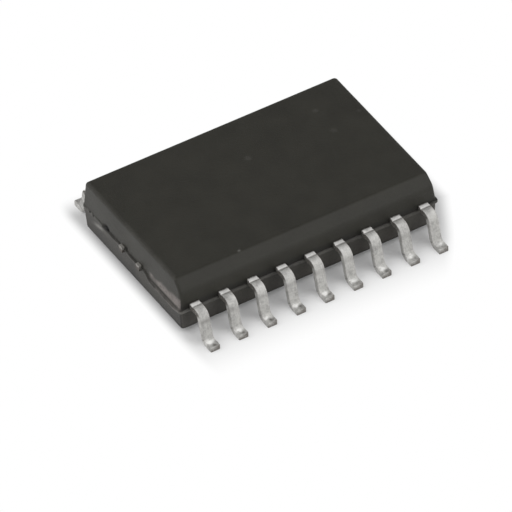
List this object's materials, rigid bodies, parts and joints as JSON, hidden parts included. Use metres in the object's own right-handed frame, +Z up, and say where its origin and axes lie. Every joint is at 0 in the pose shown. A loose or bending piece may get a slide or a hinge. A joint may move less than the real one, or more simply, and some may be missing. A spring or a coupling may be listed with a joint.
{
  "type": "darlington transistor array",
  "caption": "Flat dark epoxy package with one bevelled long edge and two rows of tin-plated gull-wing leads, moulded round a chip of darlington transistor pairs that switch loads.",
  "frame": {"origin": "on the seating plane of the lead feet, under the middle of the body", "axes": "+X along the rows of leads, -Y towards the bevelled side, whose -X end has lead 1, and +Z up from the board"},
  "size_m": [0.0116, 0.0102, 0.0025],
  "materials": {
    "moulding": "matt, finely spark-eroded mould texture",
    "tin_plate": "matt tin",
    "lead_frame": "bare copper alloy sheet",
    "glue": "silver-filled epoxy",
    "silicon": "polished silicon",
    "bond_wire": "bright drawn gold"
  },
  "bodies": {
    "root": {"body": "moulding", "lead_1": "tin_plate", "lead_2": "tin_plate", "lead_3": "tin_plate", "lead_4": "tin_plate", "lead_5": "tin_plate", "lead_6": "tin_plate", "lead_7": "tin_plate", "lead_8": "tin_plate", "lead_9": "tin_plate", "lead_10": "tin_plate", "lead_11": "tin_plate", "lead_12": "tin_plate", "lead_13": "tin_plate", "lead_14": "tin_plate", "lead_15": "tin_plate", "lead_16": "tin_plate", "lead_17": "tin_plate", "lead_18": "tin_plate", "chip_pad": "lead_frame", "chip_glue": "glue", "chip": "silicon", "wire_1": "bond_wire", "wire_2": "bond_wire", "wire_3": "bond_wire", "wire_4": "bond_wire", "wire_5": "bond_wire", "wire_6": "bond_wire", "wire_7": "bond_wire", "wire_8": "bond_wire", "wire_9": "bond_wire", "wire_10": "bond_wire", "wire_11": "bond_wire", "wire_12": "bond_wire", "wire_13": "bond_wire", "wire_14": "bond_wire", "wire_15": "bond_wire", "wire_16": "bond_wire", "wire_17": "bond_wire", "wire_18": "bond_wire"}
  },
  "joints": []
}
